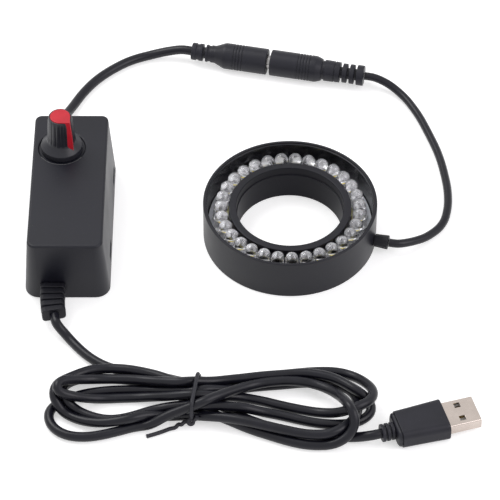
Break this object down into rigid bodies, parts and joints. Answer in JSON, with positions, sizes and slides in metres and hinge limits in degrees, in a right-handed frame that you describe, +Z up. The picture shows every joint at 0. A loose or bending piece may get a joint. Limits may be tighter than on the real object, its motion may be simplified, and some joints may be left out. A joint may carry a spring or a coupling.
{
  "type": "microscope ring light",
  "caption": "Annular LED lamp for a microscope objective, with a corded box that carries a rotary dimmer knob and a USB plug",
  "frame": {"origin": "centre of the bounding box of the ring head and the dimmer box, on the table they stand on", "axes": "+X from the dimmer box to the ring head, +Y from the USB cord's gland to the low-voltage gland along the box, +Z up from the table"},
  "size_m": [0.1675, 0.2102, 0.0441],
  "materials": {
    "housing_plastic": "moulded black, satin outside and glossy on the inner wall",
    "board_black": "black solder mask",
    "overmould_pvc": "satin black soft moulding",
    "cord_pvc": "satin black cord jacket",
    "nickel_plate": "nickel-plated sheet, warm grey",
    "bright_contact": "bright contact metal",
    "gland_rubber": "matt black rubber",
    "box_plastic": "charcoal satin moulding",
    "board_green": "green solder mask",
    "potentiometer_metal": "plain metal",
    "knob_black": "black satin moulding",
    "knob_red": "red satin moulding",
    "capacitor_sleeve": "dark blue sleeve",
    "chip_epoxy": "black chip moulding",
    "tie_coating": "black plastic coating on wire",
    "white_insulator": "white insulator",
    "clear_epoxy": "clear cast resin"
  },
  "bodies": {
    "controller": {"dc_socket_overmould": "overmould_pvc", "dc_socket_pin": "bright_contact", "dc_cord": "cord_pvc", "dc_cord_gland": "gland_rubber", "box_top_shell": "box_plastic", "box_base_cover": "box_plastic", "dimmer_board": "board_green", "potentiometer_body": "potentiometer_metal", "potentiometer_nut": "potentiometer_metal", "filter_capacitor": "capacitor_sleeve", "driver_transistor": "chip_epoxy", "usb_cord_gland": "gland_rubber", "usb_cord_lead": "cord_pvc", "usb_cord_hank": "cord_pvc", "usb_cord_tail": "cord_pvc", "twist_tie": "tie_coating", "usb_plug_overmould": "overmould_pvc", "usb_shell": "nickel_plate", "usb_tongue": "white_insulator"},
    "knob": {"potentiometer_shaft": "potentiometer_metal", "knob_body": "knob_black", "knob_pointer_cap": "knob_red"},
    "head": {"ring_housing": "housing_plastic", "led_board": "board_black", "ring_strain_relief": "overmould_pvc", "ring_cord": "cord_pvc", "dc_plug_overmould": "overmould_pvc", "dc_plug_barrel": "nickel_plate", "led_01": "clear_epoxy", "led_02": "clear_epoxy", "led_03": "clear_epoxy", "led_04": "clear_epoxy", "led_05": "clear_epoxy", "led_06": "clear_epoxy", "led_07": "clear_epoxy", "led_08": "clear_epoxy", "led_09": "clear_epoxy", "led_10": "clear_epoxy", "led_11": "clear_epoxy", "led_12": "clear_epoxy", "led_13": "clear_epoxy", "led_14": "clear_epoxy", "led_15": "clear_epoxy", "led_16": "clear_epoxy", "led_17": "clear_epoxy", "led_18": "clear_epoxy", "led_19": "clear_epoxy", "led_20": "clear_epoxy", "led_21": "clear_epoxy", "led_22": "clear_epoxy", "led_23": "clear_epoxy", "led_24": "clear_epoxy", "led_25": "clear_epoxy", "led_26": "clear_epoxy", "led_27": "clear_epoxy", "led_28": "clear_epoxy", "led_29": "clear_epoxy", "led_30": "clear_epoxy", "led_31": "clear_epoxy"}
  },
  "joints": [
    {"name": "dimmer_turn", "type": "hinge", "parent": "controller", "child": "knob", "pos_m": [-0.0534, 0.0172, 0.0274], "axis": [0, 0, 1], "range_deg": [-150, 150]},
    {"name": "head_unplug", "type": "slide", "parent": "controller", "child": "head", "axis": [0.9781, -0.2079, 0], "range_m": [-0.0012, 0.0085]}
  ]
}
